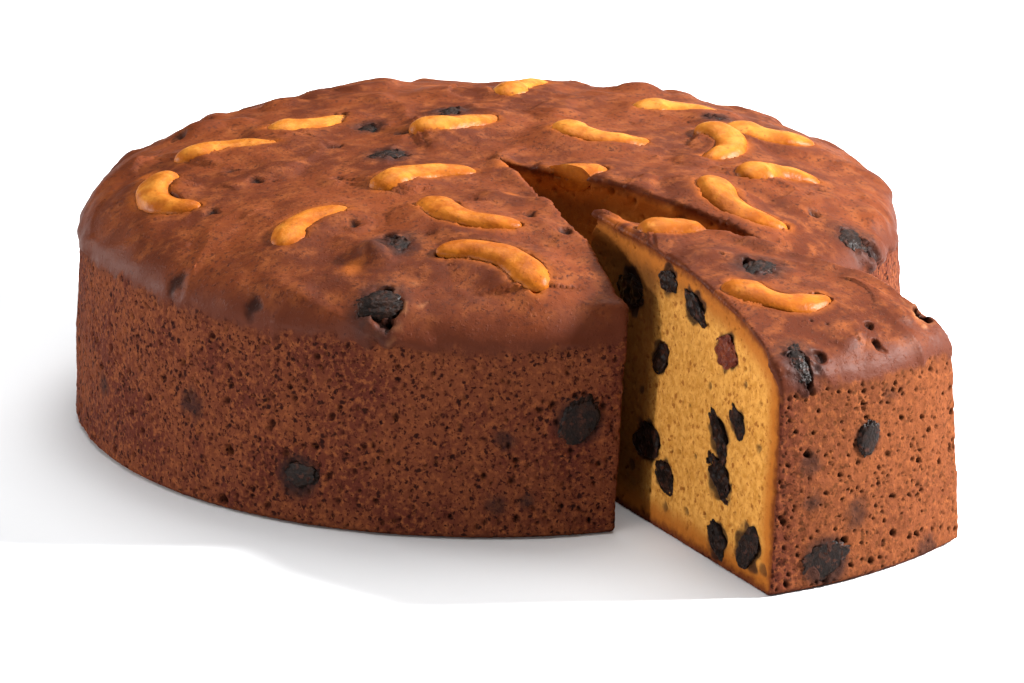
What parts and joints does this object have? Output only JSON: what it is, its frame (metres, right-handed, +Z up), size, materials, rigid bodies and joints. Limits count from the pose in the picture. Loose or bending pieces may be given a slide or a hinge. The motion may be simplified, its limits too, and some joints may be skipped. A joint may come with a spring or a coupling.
{
  "type": "round fruit cake with one slice drawn out",
  "caption": "Round fruit and nut cake with a flat foot, a risen crust top, and one wedge slice drawn part of the way out.",
  "frame": {"origin": "centre of the round cake on the plane of its flat foot", "axes": "+Z up; the slice is drawn out towards -Y; +X to the right seen from the slice's side"},
  "size_m": [0.2032, 0.2565, 0.0702],
  "materials": {
    "crust": "satin baked crust over fine crumb",
    "cashew": "roasted, satin with soft highlights",
    "raisin": "wrinkled, slightly shiny",
    "cherry": "candied, moist"
  },
  "bodies": {
    "root": {"cake_body": "crust", "cashew_cake_01": "cashew", "cashew_cake_02": "cashew", "cashew_cake_03": "cashew", "cashew_cake_04": "cashew", "cashew_cake_05": "cashew", "cashew_cake_06": "cashew", "cashew_cake_07": "cashew", "cashew_cake_08": "cashew", "cashew_cake_09": "cashew", "cashew_cake_10": "cashew", "cashew_cake_11": "cashew", "cashew_cake_12": "cashew", "cashew_cake_13": "cashew", "cashew_cake_14": "cashew", "cashew_cake_15": "cashew", "cashew_cut_cake": "cashew", "cashew_cut_slice": "cashew", "cashew_slice_01": "cashew", "cherry_cut": "cherry", "raisin_cake_01": "raisin", "raisin_cake_02": "raisin", "raisin_cake_03": "raisin", "raisin_cake_04": "raisin", "raisin_cake_05": "raisin", "raisin_cake_06": "raisin", "raisin_cake_07": "raisin", "raisin_cake_wall_01": "raisin", "raisin_cake_wall_02": "raisin", "raisin_cut_01": "raisin", "raisin_cut_02": "raisin", "raisin_cut_03": "raisin", "raisin_cut_04": "raisin", "raisin_cut_05": "raisin", "raisin_cut_06": "raisin", "raisin_cut_07": "raisin", "raisin_cut_08": "raisin", "raisin_cut_09": "raisin", "raisin_cut_10": "raisin", "raisin_cut_11": "raisin", "raisin_slice_01": "raisin", "raisin_slice_02": "raisin", "raisin_slice_wall_01": "raisin", "raisin_slice_wall_02": "raisin", "slice_body": "crust"}
  },
  "joints": []
}
